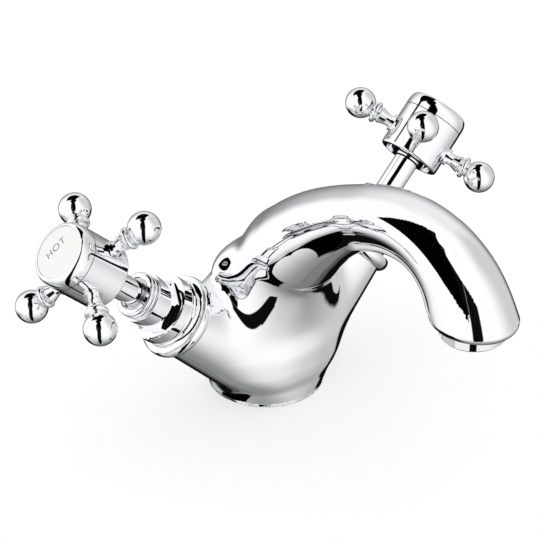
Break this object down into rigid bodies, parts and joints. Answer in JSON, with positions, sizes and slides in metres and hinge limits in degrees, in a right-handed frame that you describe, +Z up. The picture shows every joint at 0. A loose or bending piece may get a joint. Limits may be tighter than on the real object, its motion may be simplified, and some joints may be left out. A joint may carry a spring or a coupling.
{
  "type": "two-handle basin mixer tap",
  "caption": "One-piece chromed basin mixer with an arched spout, an aerator, raised valve arms and crosshead handles with ball ends and white index discs.",
  "frame": {"origin": "centre of the round base on the deck", "axes": "+Z up, the spout points to -Y, the hot valve is on the -X side and the cold valve on the +X side"},
  "size_m": [0.205, 0.1663, 0.117],
  "materials": {
    "chrome": "mirror polished plate",
    "rubber": "matt",
    "acetal": "satin",
    "ceramic": "lapped",
    "steel": "bright",
    "porcelain": "glazed"
  },
  "bodies": {
    "mixer": {"body": "chrome", "deck_seal": "rubber", "aerator_housing": "chrome", "aerator_washer": "rubber", "aerator_insert": "acetal", "hot_bell": "chrome", "hot_valve_body": "chrome", "hot_valve_washer": "rubber", "hot_seat_seal": "rubber", "hot_fixed_disc": "ceramic", "cold_bell": "chrome", "cold_valve_body": "chrome", "cold_valve_washer": "rubber", "cold_seat_seal": "rubber", "cold_fixed_disc": "ceramic"},
    "hot_handle": {"hot_turning_disc": "ceramic", "hot_spindle": "chrome", "hot_ring_seals": "rubber", "hot_clip": "steel", "hot_hub": "chrome", "hot_arm_1": "chrome", "hot_arm_2": "chrome", "hot_arm_3": "chrome", "hot_arm_4": "chrome", "hot_screw": "steel", "hot_cap": "chrome", "hot_index": "porcelain"},
    "cold_handle": {"cold_turning_disc": "ceramic", "cold_spindle": "chrome", "cold_ring_seals": "rubber", "cold_clip": "steel", "cold_hub": "chrome", "cold_arm_1": "chrome", "cold_arm_2": "chrome", "cold_arm_3": "chrome", "cold_arm_4": "chrome", "cold_screw": "steel", "cold_cap": "chrome", "cold_index": "porcelain"}
  },
  "joints": [
    {"name": "hot_turn", "type": "hinge", "parent": "mixer", "child": "hot_handle", "pos_m": [0, -0.0038, 0.0054], "axis": [-0.7409, 0.0583, 0.6691], "range_deg": [0, 90]},
    {"name": "cold_turn", "type": "hinge", "parent": "mixer", "child": "cold_handle", "pos_m": [0, -0.0038, 0.0054], "axis": [-0.7409, -0.0583, -0.6691], "range_deg": [0, 90]}
  ]
}
